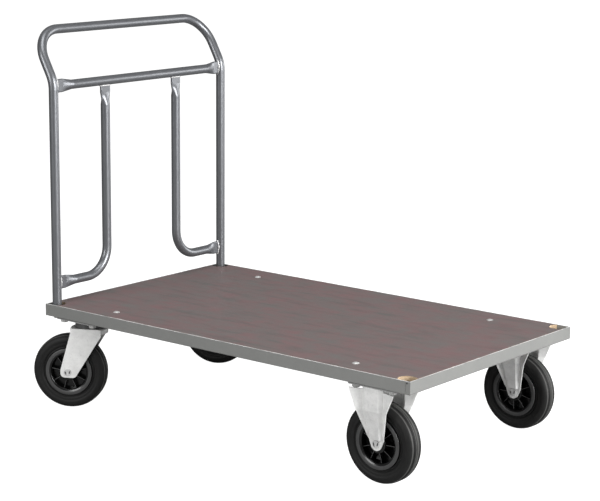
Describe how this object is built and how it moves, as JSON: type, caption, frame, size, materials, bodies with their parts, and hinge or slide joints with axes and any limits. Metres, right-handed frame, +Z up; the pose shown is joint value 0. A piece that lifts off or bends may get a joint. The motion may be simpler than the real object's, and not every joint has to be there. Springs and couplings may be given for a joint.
{
  "type": "platform trolley",
  "caption": "Flat plywood deck in a steel rail frame on two fixed and two swivel wheels, with a bent tube push handle at one end.",
  "frame": {"origin": "on the floor, under the middle of the trolley's whole footprint at rest", "axes": "+X along the deck away from the handle, +Z up"},
  "size_m": [1.2619, 0.7348, 1.0115],
  "materials": {
    "tube_lacquer": "silver-grey metallic lacquer, semi-gloss",
    "frame_lacquer": "silver-grey metallic lacquer, satin",
    "plywood": "brown phenolic film over plywood, semi-gloss, cream edges",
    "zinc_sheet": "pressed sheet steel, bright zinc plated",
    "dark_zinc": "greased dark zinc",
    "zinc_fastener": "bright zinc plated",
    "plain_steel": "turned steel, zinc plated",
    "bearing_steel": "ground bearing steel",
    "rim_plastic": "moulded black polypropylene",
    "tyre_rubber": "black solid rubber"
  },
  "bodies": {
    "chassis": {"near_side_rail": "frame_lacquer", "far_side_rail": "frame_lacquer", "free_end_rail": "frame_lacquer", "handle_end_rail": "frame_lacquer", "handle_end_cross_member": "frame_lacquer", "free_end_cross_member": "frame_lacquer", "corner_gussets": "frame_lacquer", "deck_board": "plywood", "board_bolts": "zinc_fastener", "board_nuts": "zinc_fastener", "end_frame_tube": "tube_lacquer", "crossbar": "tube_lacquer", "near_inner_tube": "tube_lacquer", "far_inner_tube": "tube_lacquer", "post_plugs": "plain_steel", "post_bolts": "zinc_fastener", "caster_bolts": "zinc_fastener", "caster_nuts": "zinc_fastener", "near_fixed_bracket": "zinc_sheet", "near_fixed_axle": "plain_steel", "near_fixed_axle_sleeve": "plain_steel", "far_fixed_bracket": "zinc_sheet", "far_fixed_axle": "plain_steel", "far_fixed_axle_sleeve": "plain_steel", "near_swivel_top_plate": "zinc_sheet", "near_swivel_ball_cup": "dark_zinc", "near_swivel_kingpin": "plain_steel", "near_swivel_lower_race": "plain_steel", "far_swivel_top_plate": "zinc_sheet", "far_swivel_ball_cup": "dark_zinc", "far_swivel_kingpin": "plain_steel", "far_swivel_lower_race": "plain_steel"},
    "near_swivel_fork": {"near_swivel_fork": "zinc_sheet", "near_swivel_axle": "plain_steel", "near_swivel_axle_sleeve": "plain_steel", "near_swivel_upper_balls": "bearing_steel", "near_swivel_lower_balls": "bearing_steel"},
    "far_swivel_fork": {"far_swivel_fork": "zinc_sheet", "far_swivel_axle": "plain_steel", "far_swivel_axle_sleeve": "plain_steel", "far_swivel_upper_balls": "bearing_steel", "far_swivel_lower_balls": "bearing_steel"},
    "near_fixed_wheel": {"near_fixed_tyre": "tyre_rubber", "near_fixed_rim": "rim_plastic", "near_fixed_roller_bearing": "bearing_steel"},
    "far_fixed_wheel": {"far_fixed_tyre": "tyre_rubber", "far_fixed_rim": "rim_plastic", "far_fixed_roller_bearing": "bearing_steel"},
    "near_swivel_wheel": {"near_swivel_tyre": "tyre_rubber", "near_swivel_rim": "rim_plastic", "near_swivel_roller_bearing": "bearing_steel"},
    "far_swivel_wheel": {"far_swivel_tyre": "tyre_rubber", "far_swivel_rim": "rim_plastic", "far_swivel_roller_bearing": "bearing_steel"}
  },
  "joints": [
    {"name": "near_swivel", "type": "hinge", "parent": "chassis", "child": "near_swivel_fork", "pos_m": [-0.461, -0.276, 0.214], "axis": [0, 0, 1], "continuous": true},
    {"name": "far_swivel", "type": "hinge", "parent": "chassis", "child": "far_swivel_fork", "pos_m": [-0.461, 0.313, 0.214], "axis": [0, 0, 1], "continuous": true},
    {"name": "near_fixed_wheel_spin", "type": "hinge", "parent": "chassis", "child": "near_fixed_wheel", "pos_m": [0.517, -0.276, 0.1], "axis": [0, 1, 0], "continuous": true},
    {"name": "far_fixed_wheel_spin", "type": "hinge", "parent": "chassis", "child": "far_fixed_wheel", "pos_m": [0.517, 0.313, 0.1], "axis": [0, 1, 0], "continuous": true},
    {"name": "near_swivel_wheel_spin", "type": "hinge", "parent": "near_swivel_fork", "child": "near_swivel_wheel", "pos_m": [-0.50626, -0.30161, 0.1], "axis": [-0.4924, 0.8704, 0], "continuous": true},
    {"name": "far_swivel_wheel_spin", "type": "hinge", "parent": "far_swivel_fork", "child": "far_swivel_wheel", "pos_m": [-0.50887, 0.29268, 0.1], "axis": [-0.3907, 0.9205, 0], "continuous": true}
  ]
}
